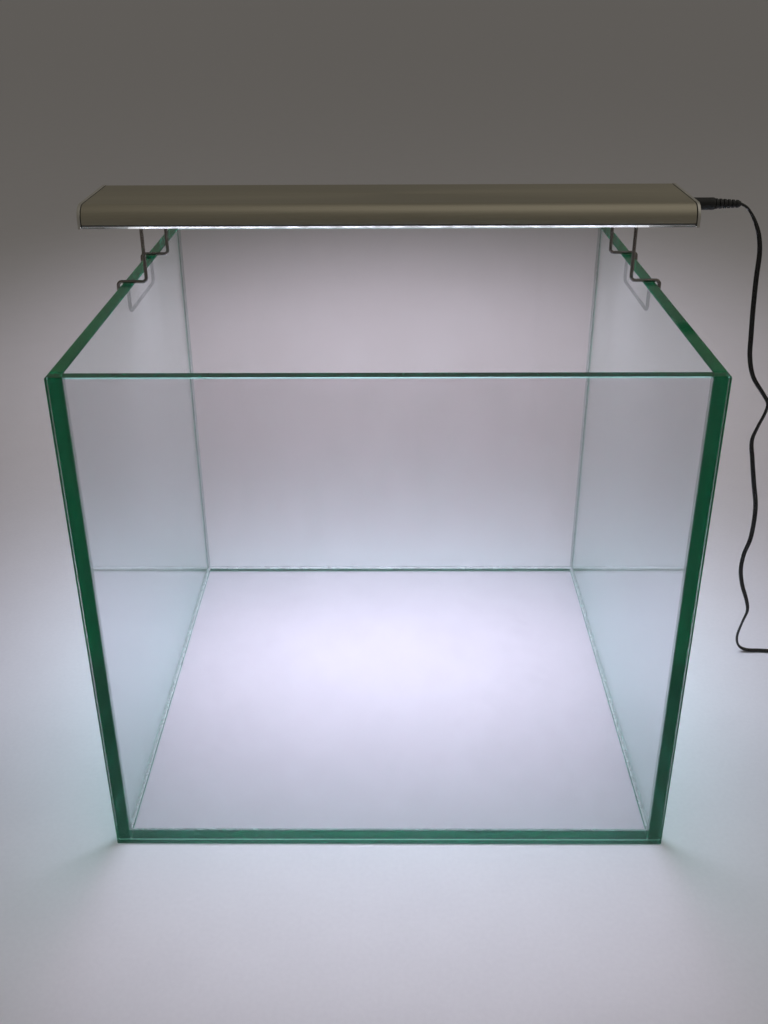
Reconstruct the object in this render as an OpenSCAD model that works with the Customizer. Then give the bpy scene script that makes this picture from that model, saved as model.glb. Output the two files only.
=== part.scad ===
// Rimless glass aquarium with an LED light that stands on its rim on two wire brackets.
// Millimetres, +Z up, +X to the right. The origin is the centre of the tank's footprint,
// on the surface that the bottom edges of the panes rest on.

/* [Tank] */
// Outer width of the tank, along X
tank_w = 450; // [400:1:500]
// Outer depth of the tank, along Y
tank_d = 450; // [350:1:500]
// Outer height of the tank
tank_h = 408; // [300:1:450]
// Thickness of all five panes
glass_t = 10; // [8:0.5:12]
// Width of the polished 45 degree arris on each pane's edges
arris = 0.8; // [0.4:0.1:1.2]
// Thickness of the silicone film between two panes
bond = 0.8; // [0.5:0.1:1.5]
// Leg of the triangular silicone bead in each inside corner
bead = 2.5; // [2:0.5:6]

/* [Light] */
// Overall length of the light, over its end caps
light_l = 510; // [480:1:560]
// Depth of the light from front to back
light_d = 104; // [100:1:120]
// Distance of the light's middle behind the tank's middle
light_y = 53; // [-60:1:60]
// Height of the light's underside above the rim of the tank
light_gap = 46.7; // [35:0.1:60]
// Height of the aluminium housing
housing_h = 15; // [15:0.5:20]
// Radius of the rounded front and back of the housing
nose_r = 12; // [10:0.5:12]
// Thickness of the housing's top
roof_t = 2.2; // [1.5:0.1:2.5]
// Thickness of the clear cover under the housing
cover_t = 3; // [2:0.5:4]
// Thickness of each end cap
cap_t = 2.5; // [2:0.5:4]
// Thickness of the gasket behind each end cap
gasket_t = 0.8; // [0.5:0.1:1]
// How far the end caps stand proud of the housing all round
cap_proud = 0.4; // [0.2:0.1:0.8]

/* [LEDs] */
// Number of LEDs along each row
led_columns = 25; // [10:1:26]
// Number of rows
led_rows = 2; // [1:1:3]
// Distance between two LEDs in a row
led_pitch = 17.6; // [12:0.1:17.6]
// Distance between two rows
row_pitch = 10; // [6:0.5:12]

/* [Brackets] */
// Diameter of the steel wire
wire_d = 3; // [2.5:0.1:3]
// Distance of each upright from the middle of the light
upright_x = 204; // [190:1:204]
// How far each bracket can slide outwards
bracket_travel = 9; // [4:0.5:9]
// Length of wire that lies in the housing's channel
tail_l = 30; // [20:1:60]
// Drop of the outside loop below the rim, to the wire's centre
loop_drop = 24.4; // [20:0.1:40]

/* [Power lead] */
// Width of the flat twin cord
cord_w = 4.6; // [4:0.1:5]
// Thickness of the flat twin cord
cord_t = 2.4; // [2:0.1:2.6]
// Diameter of the plug's grip
grip_d = 10.5; // [9:0.1:11]
// Length of the plug's grip
grip_l = 24.6; // [20:0.1:30]
// Length of the plug's ribbed strain relief
boot_l = 21.6; // [18:0.1:26]

/* [Hidden] */
$fn = 48;
eps = 0.01;

// Colours
glass_green = [0.45, 0.68, 0.62, 0.35];
silicone_clear = [0.85, 0.88, 0.87, 0.7];
anodised = [0.68, 0.66, 0.62];
cap_silver = [0.74, 0.73, 0.70];
acrylic_clear = [0.93, 0.96, 1, 0.5];
steel = [0.5, 0.5, 0.52];
nickel = [0.8, 0.79, 0.76];
black = [0.05, 0.05, 0.055];
board_white = [0.93, 0.93, 0.9];
board_green = [0.05, 0.3, 0.14];
led_yellow = [0.95, 0.9, 0.55];

// Tank: where the inner faces of the walls are, and how high the seams start and end
in_x = tank_w / 2 - glass_t;
in_y = tank_d / 2 - glass_t;
seam_foot = 0.3;
seam_top = tank_h - arris;

// Light: heights and lengths
lip_z = tank_h + light_gap + cover_t;
housing_l = light_l - 2 * (cap_t + gasket_t);
cap_x = light_l / 2 - cap_t;
nose_y = light_d / 2 - nose_r;
cover_foot = cover_t + 0.2;

// Light: the channel on each side that holds the bracket wires, and the cavity between them
wire_r = wire_d / 2;
wire_gap = 0.3;
channel_w = wire_d + 2 * wire_gap;
channel_y = light_d / 2 - 2 - channel_w / 2;
channel_h = 5.6;
cavity_half = channel_y - channel_w / 2 - 1.6;
cavity_h = housing_h - roof_t;
cavity_r = 4;
snap_z = 2;
snap_h = 1.2;
snap_deep = 0.7;
rib_t = 1.4;
port_y = light_d / 2 - 4.8;
port_z = 8.8;
port_r = 1.45;

// Light: the parts inside
pad_t = 0.5;
board_t = 1.6;
board_l = 470;
board_w = 30;
led_size = [3.5, 2.8, 0.8];
board_z = cavity_h - pad_t - board_t;
driver_size = [56, 16, 1.2];
driver_at = [196, 29];
driver_z = cavity_h - 1.6 - driver_size.z;

// Power jack and plug, on one axis
jack_z = lip_z + 5.5;
jack_size = [13, 11, 10.2];
jack_bore_r = 2.8;
jack_bore_l = 10;
nose_hole_r = 4.1;
barrel_r = 2.75;
barrel_bore_r = 1.25;
pin_r = 1;
plug_gap = 0.4;
grip_x = light_l / 2 + plug_gap;
boot_x = grip_x + grip_l + 0.2;

// Brackets: the height of the wire over the rim, and the place of the outside loop
rim_wire_z = tank_h + wire_r + wire_gap;
tail_z = lip_z + channel_h - wire_r - wire_gap;
loop_x = tank_w / 2 + wire_r + 1.8;
loop_z = tank_h - loop_drop;
top_bend = 4.5;
rim_bend = 3.5;
loop_bend = 5;

// The coil of spare cord, and the tie around it
coil_at = [440, -10];
coil_turns = 5;
coil_step = 2.5;
coil_r = 31.5;
coil_in = coil_r - coil_step * coil_turns - cord_t / 2;
coil_out = coil_r + cord_t / 2;
tie_t = 0.8;
tie_w = 8;
tie_turn = 205;

// The plug-in adapter, lying on its front with its pins up
adapter_at = [450, -119];
adapter_size = [40, 70, 28];
adapter_r = 6;
adapter_wall = 2.2;
adapter_split = 12;
boss_h = 1.5;
pin_spacing = 19;
mains_pin_r = 2;
mains_pin_l = 19;
pin_root_r = 1.6;
mains_pin_y = -14;
relief_l = 22;
lead_z = 14;

// The cord's route from the plug down to the table and along it to the coil. Each point is
// its distance out from the light's end cap, its distance behind the plug's axis, its height,
// and the turn of the flat side about the cord.
cord_route = [
    [47.5, 0, 463, 0], [54, 0, 459, 0], [61, 0, 449.5, 30], [67, 0, 436, 60],
    [70, 0, 420, 80], [70.5, 0, 398, 90], [72, 0, 370, 90], [74, 0, 345, 90],
    [76, 0, 325, 80], [82, 0, 306, 60], [94, 0, 289, 45], [99.5, 0, 280, 40],
    [98.5, 0, 270, 40], [93.5, 0, 255, 45], [90.5, 0, 241, 60], [94, 0, 222, 75],
    [99, 0, 198, 90], [105, 0, 170, 90], [105.5, 0, 138, 85], [101.5, 0, 118, 75],
    [101, 0, 100, 70], [105, 0, 82, 65], [112, 0, 64, 50], [115, 0, 51, 40],
    [112, 0, 37, 30], [109, 0, 20, 15], [112, 0, 8, 0], [121, 0, 2.2, 0],
    [136, 0, 1.4, 0], [151, -2, 1.3, 0], [165, -7, 1.8, 20], [179, -15, 2.3, 50],
    [192, -25, 2.7, 75], [201, -33.5, 3.1, 90], [207.3, -40.7, 3.1, 90]
];

// The route's heights are for a jack at this height, and stretch with it
route_jack_z = 463.2;

// The lead from the inside of the coil, over its turns and into the adapter's strain relief.
// Each point is measured from the coil's centre, with its height and the flat side's turn.
lead_route = [
    [9.5, 16.5, 3.1, 90], [13, 13.2, 4.4, 80], [15, 8.5, 6.2, 50], [15.6, 3, 7.2, 20],
    [15.2, -4, 7.3, 0], [14, -12, 7.2, 0], [12.5, -22, 7.1, 0], [11, -32, 7.3, 0],
    [10.3, -40, 9, 0], [10, -46, 11.6, 0], [10, -51.8, 13.6, 0]
];

// ---- General shapes ----

// The outline of a w by h plate with its corners cut back by c
function clipped(w, h, c) = [
    [c - w / 2, -h / 2], [w / 2 - c, -h / 2], [w / 2, c - h / 2], [w / 2, h / 2 - c],
    [w / 2 - c, h / 2], [c - w / 2, h / 2], [-w / 2, h / 2 - c], [-w / 2, c - h / 2]
];

// Extrudes a YZ outline along X, centred
module along_x(length) {
    rotate([90, 0, 90]) linear_extrude(length, center = true) children();
}

// Extrudes an XZ outline along Y, centred
module along_y(length) {
    rotate([90, 0, 0]) linear_extrude(length, center = true) children();
}

// A centred plate with all twelve edges arrised
module arrised(size) {
    intersection() {
        linear_extrude(size.z, center = true) polygon(clipped(size.x, size.y, arris));
        along_x(size.x + 2) polygon(clipped(size.y, size.z, arris));
        along_y(size.y + 2) polygon(clipped(size.x, size.z, arris));
    }
}

// A cylinder of the given length from the origin along +X
module rod_x(length, r) {
    rotate([0, 90, 0]) cylinder(h = length, r = r);
}

// A quarter ring of wire in the XZ plane, about the origin, from angle a to a + 90
module wire_bend(bend_r, a) {
    rotate([90, 0, 0]) rotate([0, 0, a]) rotate_extrude(angle = 90)
        translate([bend_r, 0]) circle(wire_r);
}

// A rectangle with round corners, centred
module round_rect(w, h, r) {
    square([w - 2 * r, h], center = true);
    square([w, h - 2 * r], center = true);
    for (sx = [-1, 1], sy = [-1, 1])
        translate([sx * (w / 2 - r), sy * (h / 2 - r)]) circle(r);
}

// ---- Flat cord swept along a route ----

function unit(v) = v / norm(v);

function xyz(p) = [p[0], p[1], p[2]];

// A point between b and c on the smooth curve through a, b, c and d
function between(a, b, c, d, t) = 0.5 * (2 * b + (c - a) * t
    + (2 * a - 5 * b + 4 * c - d) * t * t + (3 * b - a - 3 * c + d) * t * t * t);

// The route with n steps between each two of its points
function smoothed(route, n) = let (last = len(route) - 1) [
    for (i = [0 : last - 1], k = [0 : n - 1])
        between(route[max(i - 1, 0)], route[i], route[i + 1], route[min(i + 2, last)], k / n),
    route[last]
];

function headings(line) = let (last = len(line) - 1) [
    for (i = [0 : last]) unit(xyz(line[min(i + 1, last)]) - xyz(line[max(i - 1, 0)]))
];

// A side direction carried along the headings t without twisting
function carried(t, side, i = 0) = i == len(t) ? []
    : let (s = unit(side - (side * t[i]) * t[i])) concat([s], carried(t, s, i + 1));

// The eight corners of the cord's section, across its width and its thickness
function cord_section() = let (a = cord_w / 2, b = cord_t / 2, c = 0.7) [
    [a, b - c], [a - c, b], [c - a, b], [-a, b - c],
    [-a, c - b], [c - a, -b], [a - c, -b], [a, c - b]
];

// A flat cord along a line of [x, y, z, turn], with its width towards side where turn is 0
module flat_cord(line, side) {
    section = cord_section();
    sides = len(section);
    last = len(line) - 1;
    t = headings(line);
    s = carried(t, side);
    points = [
        for (i = [0 : last], q = section)
            let (n = cross(t[i], s[i]), a = line[i][3])
            let (wide = cos(a) * s[i] + sin(a) * n, thin = cos(a) * n - sin(a) * s[i])
            xyz(line[i]) + q[0] * wide + q[1] * thin
    ];
    walls = [
        for (i = [0 : last - 1], k = [0 : sides - 1])
            let (m = (k + 1) % sides, u = i * sides, v = u + sides)
            each [[u + k, v + k, v + m], [u + k, v + m, u + m]]
    ];
    near_end = [for (k = [0 : sides - 1]) k];
    far_end = [for (k = [sides - 1 : -1 : 0]) last * sides + k];
    polyhedron(points, concat(walls, [near_end, far_end]));
}

// ---- Tank ----

// A front or back pane: full width and full height
module wide_pane(side) {
    color(glass_green) translate([0, side * (tank_d - glass_t) / 2, tank_h / 2])
        arrised([tank_w, glass_t, tank_h]);
}

// A side pane: it butts between the front and back panes
module side_pane(side) {
    color(glass_green) translate([side * (tank_w - glass_t) / 2, 0, tank_h / 2])
        arrised([glass_t, 2 * (in_y - bond), tank_h]);
}

module front_pane() { wide_pane(-1); }

module back_pane() { wide_pane(1); }

module left_pane() { side_pane(-1); }

module right_pane() { side_pane(1); }

// The bottom pane is let in between the four walls, flush with their lower edges
module bottom_pane() {
    color(glass_green) translate([0, 0, glass_t / 2])
        arrised([2 * (in_x - bond), 2 * (in_y - bond), glass_t]);
}

// The silicone of one upright corner: a film in the butt joint and a bead inside the corner
module corner_silicone(sx, sy) {
    deep = glass_t - arris;
    scale([sx, sy, 1]) translate([in_x, in_y, 0]) {
        translate([0, -bond, seam_foot]) cube([deep, bond, seam_top - seam_foot]);
        translate([0, 0, glass_t]) linear_extrude(seam_top - glass_t)
            polygon([[0, 0], [0, -bead], [-bead, 0]]);
    }
}

// The silicone along one edge of the bottom pane, as an outline: x is the distance into the tank
module base_outline() {
    polygon([
        [0, seam_foot], [bond, seam_foot], [bond, glass_t], [bead, glass_t], [0, glass_t + bead]
    ]);
}

// The whole bead along the front wall, and along the left wall
module long_bead() {
    translate([0, -in_y, 0]) along_x(2 * in_x) base_outline();
}

module cross_bead() {
    translate([-in_x, 0, 0]) along_y(2 * in_y) base_outline();
}

module all_corners() {
    for (sx = [-1, 1], sy = [-1, 1]) corner_silicone(sx, sy);
}

// The side beads end where they meet the front and back beads
module side_seam() {
    color(silicone_clear) difference() {
        mirror([1, 0, 0]) cross_bead();
        long_bead();
        mirror([0, 1, 0]) long_bead();
        all_corners();
    }
}

module front_left_seam() { color(silicone_clear) corner_silicone(-1, -1); }

module front_right_seam() { color(silicone_clear) corner_silicone(1, -1); }

module back_left_seam() { color(silicone_clear) corner_silicone(-1, 1); }

module back_right_seam() { color(silicone_clear) corner_silicone(1, 1); }

module front_base_seam() {
    color(silicone_clear) difference() {
        long_bead();
        all_corners();
    }
}

module back_base_seam() { mirror([0, 1, 0]) front_base_seam(); }

module right_base_seam() { side_seam(); }

module left_base_seam() { mirror([1, 0, 0]) side_seam(); }

// ---- Light ----

// Moves to the light's own frame: its middle, at the height of the housing's lower lips
module on_light() {
    translate([0, light_y, lip_z]) children();
}

// The light's end view, grown all round by g, and reaching down to foot below the lips
module light_outline(g, foot) {
    translate([-light_d / 2 - g, -foot])
        square([light_d + 2 * g, foot + housing_h - nose_r]);
    translate([-nose_y, -foot]) square([2 * nose_y, foot + housing_h + g]);
    intersection() {
        translate([-light_d, -foot]) square([2 * light_d, foot + 2 * housing_h]);
        for (side = [-1, 1])
            translate([side * nose_y, housing_h - nose_r]) circle(nose_r + g, $fn = 96);
    }
}

// The inside of the housing in end view, open at the bottom
module cavity_outline() {
    translate([-cavity_half, -1]) square([2 * cavity_half, 1 + cavity_h - cavity_r]);
    translate([cavity_r - cavity_half, -1])
        square([2 * (cavity_half - cavity_r), 1 + cavity_h]);
    for (side = [-1, 1])
        translate([side * (cavity_half - cavity_r), cavity_h - cavity_r]) circle(cavity_r);
}

// The two wire channels, the snap grooves and the screw ports in end view
module side_cuts() {
    for (side = [-1, 1]) {
        translate([side * channel_y - channel_w / 2, -1]) square([channel_w, 1 + channel_h]);
        translate([side * (cavity_half + snap_deep / 2 - eps), snap_z + snap_h / 2])
            square([snap_deep + 2 * eps, snap_h], center = true);
        translate([side * port_y, port_z]) circle(port_r);
    }
}

module light_housing() {
    color(anodised) on_light() along_x(housing_l) difference() {
        light_outline(0, 0);
        cavity_outline();
        side_cuts();
    }
}

// The clear cover snaps into the housing. Slots let the bracket wires through and slide.
module clear_cover() {
    rib_y = cavity_half - 0.2;
    color(acrylic_clear) on_light() difference() {
        along_x(housing_l) {
            translate([eps - light_d / 2 + 0.4, -cover_t]) square([light_d - 0.8, cover_t]);
            for (side = [-1, 1]) {
                translate([side * (rib_y - rib_t / 2) - rib_t / 2, -eps])
                    square([rib_t, snap_z + snap_h]);
                translate([side * rib_y - 0.5, snap_z + 0.1]) square([1, snap_h - 0.2]);
            }
        }
        for (sx = [-1, 1], sy = [-1, 1])
            translate([sx * upright_x, sy * channel_y, -cover_t - 1]) {
                cylinder(h = cover_t + 2, r = channel_w / 2);
                translate([sx * bracket_travel, 0]) cylinder(h = cover_t + 2, r = channel_w / 2);
                translate([sx * bracket_travel / 2, 0, cover_t / 2 + 1])
                    cube([bracket_travel, channel_w, cover_t + 2], center = true);
            }
    }
}

// An end cap's plate with its two countersunk screw holes, on the +X end
module cap_plate() {
    translate([cap_x + cap_t / 2, 0, 0]) along_x(cap_t) light_outline(cap_proud, cover_foot);
}

module cap_holes() {
    for (side = [-1, 1]) translate([cap_x - 1, side * port_y, port_z]) {
        rod_x(cap_t + 2, port_r + 0.15);
        translate([cap_t - 0.4, 0, 0]) rotate([0, 90, 0]) cylinder(h = 1.4 + eps, r1 = 1.6, r2 = 3);
    }
}

module right_end_cap() {
    color(cap_silver) on_light() difference() {
        cap_plate();
        cap_holes();
        translate([cap_x - 1, 0, jack_z - lip_z]) rod_x(cap_t + 2, nose_hole_r);
    }
}

module left_end_cap() {
    color(cap_silver) on_light() mirror([1, 0, 0]) difference() {
        cap_plate();
        cap_holes();
    }
}

// A gasket: a frame a little smaller than the housing, open where the cavity is
module end_gasket() {
    color(black) on_light() translate([cap_x - gasket_t / 2, 0, 0]) along_x(gasket_t)
        difference() {
            light_outline(-0.8, cover_t - 0.8);
            translate([0, -cover_t]) square([2 * cavity_half, 2 * cover_t], center = true);
            cavity_outline();
            for (side = [-1, 1]) translate([side * port_y, port_z]) circle(port_r + 0.15);
        }
}

module right_gasket() { end_gasket(); }

module left_gasket() { mirror([1, 0, 0]) end_gasket(); }

// Two countersunk screws with cross recesses, on the +X end
module cap_screws() {
    shank_l = 13;
    color(nickel) on_light() for (side = [-1, 1])
        translate([light_l / 2, side * port_y, port_z]) difference() {
            union() {
                translate([-shank_l, 0, 0]) rod_x(shank_l - 0.2, port_r - 0.05);
                translate([-1.5, 0, 0]) rotate([0, 90, 0]) cylinder(h = 1.3, r1 = 1.4, r2 = 2.7);
            }
            for (turn = [0, 90]) rotate([turn, 0, 0]) cube([1.9, 0.5, 2.6], center = true);
        }
}

module right_cap_screws() { cap_screws(); }

module left_cap_screws() { mirror([1, 0, 0]) cap_screws(); }

module thermal_pad() {
    color("lightgray") on_light() translate([0, 0, cavity_h - pad_t / 2])
        cube([board_l, board_w, pad_t], center = true);
}

module led_board() {
    color(board_white) on_light() translate([0, 0, board_z + board_t / 2])
        cube([board_l, board_w, board_t], center = true);
}

module leds() {
    x0 = -(led_columns - 1) * led_pitch / 2;
    y0 = -(led_rows - 1) * row_pitch / 2;
    color(led_yellow) on_light() for (i = [0 : led_columns - 1], k = [0 : led_rows - 1])
        translate([x0 + i * led_pitch, y0 + k * row_pitch, board_z - led_size.z / 2])
            cube(led_size, center = true);
}

// The small current regulator board beside the LED board
module driver_board() {
    color(board_green) on_light()
        translate([driver_at.x, driver_at.y, driver_z + driver_size.z / 2])
            cube(driver_size, center = true);
}

// A coil, two capacitors, a chip and a terminal block under the driver board
module driver_parts() {
    color(black) on_light() translate([driver_at.x, driver_at.y, driver_z]) mirror([0, 0, 1]) {
        translate([-16, 0, 0]) cylinder(h = 5, r = 5);
        for (x = [-4, 4]) translate([x, 2, 0]) cylinder(h = 6, r = 3.1);
        translate([9, -3, 0]) cube([5, 6, 1.6]);
        translate([19, -5, 0]) cube([7, 10, 6]);
    }
}

module power_jack() {
    z = jack_z - lip_z;
    color(black) on_light() translate([cap_x, 0, z]) difference() {
        union() {
            translate([-jack_size.x, -jack_size.y / 2, -jack_size.z / 2]) cube(jack_size);
            translate([-eps, 0, 0]) rod_x(cap_t + eps, nose_hole_r - 0.1);
        }
        translate([cap_t - jack_bore_l, 0, 0]) rod_x(jack_bore_l + 1, jack_bore_r);
        translate([-jack_size.x + 2, 0, 0]) rod_x(jack_size.x, pin_r + 0.02);
    }
}

module jack_pin() {
    color(nickel) on_light() translate([cap_x - jack_size.x + 2.1, 0, jack_z - lip_z])
        rod_x(jack_size.x - 2.6, pin_r);
}

// Two leads from the jack to the driver's terminals
module jack_leads() {
    x1 = cap_x - jack_size.x;
    x0 = driver_at.x + driver_size.x / 2;
    lead_y = driver_at.y - 2;
    color("firebrick") on_light() for (k = [0, 1]) {
        bend_x = x1 - 4 - 3 * k;
        translate([bend_x, 0, 4 + 2.4 * k]) rod_x(x1 - bend_x, 0.7);
        translate([bend_x, 0, 4 + 2.4 * k]) sphere(0.7);
        translate([bend_x, 0, 4 + 2.4 * k]) rotate([-90, 0, 0]) cylinder(h = lead_y, r = 0.7);
        translate([bend_x, lead_y, 4 + 2.4 * k]) sphere(0.7);
        translate([x0, lead_y, 4 + 2.4 * k]) rod_x(bend_x - x0, 0.7);
    }
}

// Two leads from the driver board across to the LED board
module board_leads() {
    y1 = driver_at.y - driver_size.y / 2;
    color("firebrick") on_light() for (x = [-24, -20])
        translate([driver_at.x + x, board_w / 2, driver_z + 0.6]) rotate([-90, 0, 0])
            cylinder(h = y1 - board_w / 2, r = 0.6);
}

// ---- Brackets ----

// One of the two legs of the right bracket, in the XZ plane
module bracket_leg() {
    tail_x = upright_x - top_bend;
    translate([tail_x - tail_l, 0, tail_z]) rod_x(tail_l, wire_r);
    translate([tail_x, 0, tail_z - top_bend]) wire_bend(top_bend, 0);
    translate([upright_x, 0, rim_wire_z + rim_bend])
        cylinder(h = tail_z - top_bend - rim_wire_z - rim_bend, r = wire_r);
    translate([upright_x + rim_bend, 0, rim_wire_z + rim_bend]) wire_bend(rim_bend, 180);
    translate([upright_x + rim_bend, 0, rim_wire_z])
        rod_x(loop_x - upright_x - 2 * rim_bend, wire_r);
    translate([loop_x - rim_bend, 0, rim_wire_z - rim_bend]) wire_bend(rim_bend, 0);
    translate([loop_x, 0, loop_z + loop_bend])
        cylinder(h = rim_wire_z - rim_bend - loop_z - loop_bend, r = wire_r);
}

// One bent wire: two legs, joined outside the tank by a loop
module bracket() {
    loop_half = channel_y - loop_bend;
    color(steel) translate([0, light_y, 0]) {
        for (side = [-1, 1]) {
            translate([0, side * channel_y, 0]) bracket_leg();
            translate([loop_x, side * loop_half, loop_z + loop_bend])
                rotate([0, 0, side * 90]) wire_bend(loop_bend, 270);
        }
        translate([loop_x, -loop_half, loop_z]) rotate([-90, 0, 0])
            cylinder(h = 2 * loop_half, r = wire_r);
    }
}

module right_bracket() { bracket(); }

module left_bracket() { mirror([1, 0, 0]) bracket(); }

// ---- Plug ----

module on_plug_axis() {
    translate([0, light_y, jack_z]) children();
}

// The grip: a short neck, a body with two shallow rings, and a chamfered back end
module plug_grip() {
    r = grip_d / 2;
    color(black) on_plug_axis() translate([grip_x, 0, 0]) rotate([0, 90, 0]) rotate_extrude()
        polygon([
            [barrel_r + 0.02, 0], [r - 0.8, 0], [r, 0.8], [r, 4], [r - 0.4, 4.4],
            [r - 0.4, 5.6], [r, 6], [r, grip_l - 2], [r - 0.9, grip_l], [0, grip_l],
            [0, 3], [barrel_r + 0.02, 3]
        ]);
}

module plug_barrel() {
    long = jack_bore_l + plug_gap + 2.2;
    color(nickel) on_plug_axis() translate([grip_x + 2.8 - long, 0, 0]) difference() {
        rod_x(long, barrel_r);
        translate([-1, 0, 0]) rod_x(long - 1, barrel_bore_r);
    }
}

// The tapered strain relief, with a rib every rib_step
module plug_boot() {
    ribs = 6;
    r0 = 4.5;
    r1 = 3.3;
    rib_step = boot_l / ribs;
    profile = [
        for (i = [0 : ribs - 1])
            let (r = r0 + (r1 - r0) * i / (ribs - 1), x = i * rib_step)
            each [[r, x], [r, x + 0.65 * rib_step], [r - 0.7, x + 0.7 * rib_step],
                [r - 0.7, x + 0.95 * rib_step]]
    ];
    color(black) on_plug_axis() translate([boot_x, 0, 0]) rotate([0, 90, 0]) rotate_extrude()
        polygon(concat([[0, 0]], profile, [[r1 - 0.7, boot_l], [0, boot_l]]));
}

// ---- Cord, coil and adapter ----

module cord() {
    placed = [
        for (p = cord_route)
            [light_l / 2 + p[0], light_y + p[1], p[2] * jack_z / route_jack_z, p[3]]
    ];
    color(black) flat_cord(smoothed(placed, 2), [0, 1, 0]);
}

module cord_coil() {
    color(black) translate([coil_at.x, coil_at.y, tie_t]) rotate_extrude($fn = 96)
        translate([coil_in, 0]) square([coil_out - coil_in, cord_w]);
}

// A strap around the coil's turns on one side
module cord_tie() {
    wide = coil_out - coil_in + 0.8;
    at = (coil_out + coil_in) / 2 - 0.3;
    color(black) translate([coil_at.x, coil_at.y, 0]) rotate([0, 0, tie_turn])
        translate([at, 0, 0]) difference() {
            translate([0, 0, cord_w / 2 + tie_t])
                cube([wide + 2 * tie_t, tie_w, cord_w + 2 * tie_t], center = true);
            translate([0, 0, cord_w / 2 + tie_t]) cube([wide, tie_w + 2, cord_w], center = true);
        }
}

module adapter_lead() {
    placed = [for (p = lead_route) [coil_at.x + p[0], coil_at.y + p[1], p[2], p[3]]];
    color(black) flat_cord(placed, [0.7, 0.7, 0]);
}

module on_adapter() {
    translate([adapter_at.x, adapter_at.y, 0]) children();
}

// The strain relief on the adapter's near end, tapering towards the coil
module adapter_relief() {
    r = 3.9;
    ribs = 5;
    step = relief_l / ribs;
    profile = [
        for (i = [0 : ribs - 1])
            let (q = r - 0.2 * i, x = i * step)
            each [[q, x], [q, x + 0.6 * step], [q - 0.6, x + 0.65 * step], [q - 0.6, x + 0.95 * step]]
    ];
    color(black) on_adapter() translate([0, adapter_size.y / 2, lead_z]) rotate([-90, 0, 0])
        rotate_extrude() polygon(concat([[0, 0]], profile, [[r - 1.4, relief_l], [0, relief_l]]));
}

// The body's solid between two heights
module adapter_block(z0, z1, inset) {
    translate([0, 0, z0]) linear_extrude(z1 - z0)
        round_rect(adapter_size.x - 2 * inset, adapter_size.y - 2 * inset, adapter_r - inset);
}

// The front shell, lowest as the adapter lies
module adapter_cover() {
    color(black) on_adapter() difference() {
        adapter_block(0, adapter_split, 0);
        adapter_block(adapter_wall, adapter_split + 1, adapter_wall);
    }
}

// The back shell, with the boss that carries the mains pins
module adapter_case() {
    top = adapter_size.z;
    color(black) on_adapter() difference() {
        union() {
            adapter_block(adapter_split, top, 0);
            translate([0, mains_pin_y, top - eps]) linear_extrude(boss_h + eps)
                polygon(clipped(35, 14, 5));
        }
        adapter_block(adapter_split - 1, top - adapter_wall, adapter_wall);
        for (side = [-1, 1]) translate([side * pin_spacing / 2, mains_pin_y, top - 5])
            cylinder(h = 10, r = pin_root_r + 0.03);
    }
}

// The converter board, with its transformer and two capacitors
module adapter_board() {
    color(board_green) on_adapter() {
        translate([-16, -29, 6]) cube([32, 58, 1.6]);
        translate([-9, -10, 7.6 - eps]) cube([18, 22, 14]);
        translate([0, 20, 7.6 - eps]) cylinder(h = 13, r = 5);
        translate([-10, -22, 7.6 - eps]) cylinder(h = 12, r = 4);
    }
}

// Each mains pin has a thinner root that runs down through the case
module adapter_pins() {
    root = adapter_size.z - 4;
    foot = adapter_size.z + boss_h;
    tip = foot + mains_pin_l - mains_pin_r;
    color(nickel) on_adapter() for (side = [-1, 1])
        translate([side * pin_spacing / 2, mains_pin_y, 0]) {
            translate([0, 0, root]) cylinder(h = foot - root + eps, r = pin_root_r);
            translate([0, 0, foot]) cylinder(h = tip - foot, r = mains_pin_r);
            translate([0, 0, tip]) sphere(mains_pin_r);
        }
}

front_pane();
back_pane();
left_pane();
right_pane();
bottom_pane();
front_left_seam();
front_right_seam();
back_left_seam();
back_right_seam();
front_base_seam();
back_base_seam();
left_base_seam();
right_base_seam();
light_housing();
clear_cover();
left_end_cap();
right_end_cap();
left_gasket();
right_gasket();
left_cap_screws();
right_cap_screws();
thermal_pad();
led_board();
leds();
driver_board();
driver_parts();
power_jack();
jack_pin();
jack_leads();
board_leads();
left_bracket();
right_bracket();
plug_grip();
plug_barrel();
plug_boot();
cord();
cord_coil();
cord_tie();
adapter_lead();
adapter_relief();
adapter_cover();
adapter_case();
adapter_board();
adapter_pins();
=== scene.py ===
"""Looks for a rimless glass aquarium with an LED light that stands on its rim.

Metres, in the frame's own axes: the tank's footprint is centred on the origin, +Y runs from the
front pane to the back pane, and +X is to the viewer's right.
"""

import math

import bmesh
import bpy
from mathutils import Matrix, Vector, noise


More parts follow.
